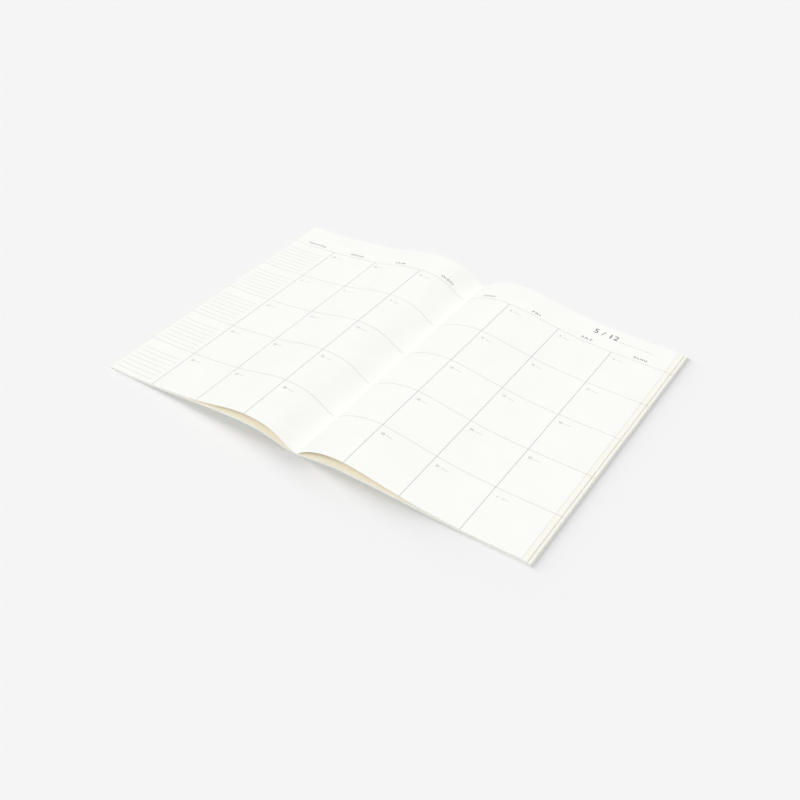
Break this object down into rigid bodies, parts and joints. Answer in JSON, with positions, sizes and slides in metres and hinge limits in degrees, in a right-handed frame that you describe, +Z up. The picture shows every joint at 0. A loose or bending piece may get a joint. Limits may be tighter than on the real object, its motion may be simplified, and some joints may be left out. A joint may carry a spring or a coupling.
{
  "type": "monthly calendar booklet",
  "caption": "Softcover calendar booklet lying open at a month's grid; its front half lifts and swings over about the stapled fold.",
  "frame": {"origin": "on the table under the middle of the fold", "axes": "+X across the spread towards the right page, +Y along the fold towards the top of the page, +Z up from the table"},
  "size_m": [0.42, 0.297, 0.0191],
  "materials": {
    "cover_card": "uncoated off-white card",
    "leaf_paper": "uncoated warm white paper",
    "staple_steel": "bright drawn wire"
  },
  "bodies": {
    "back_half": {"back_cover": "cover_card", "right_pages": "leaf_paper", "staple_top": "staple_steel", "staple_bottom": "staple_steel"},
    "front_half": {"front_cover": "cover_card", "left_pages": "leaf_paper"}
  },
  "joints": [
    {"name": "spine_fold", "type": "hinge", "parent": "back_half", "child": "front_half", "pos_m": [0, 0, 0.0018], "axis": [0, 1, 0], "range_deg": [0, 115]}
  ]
}
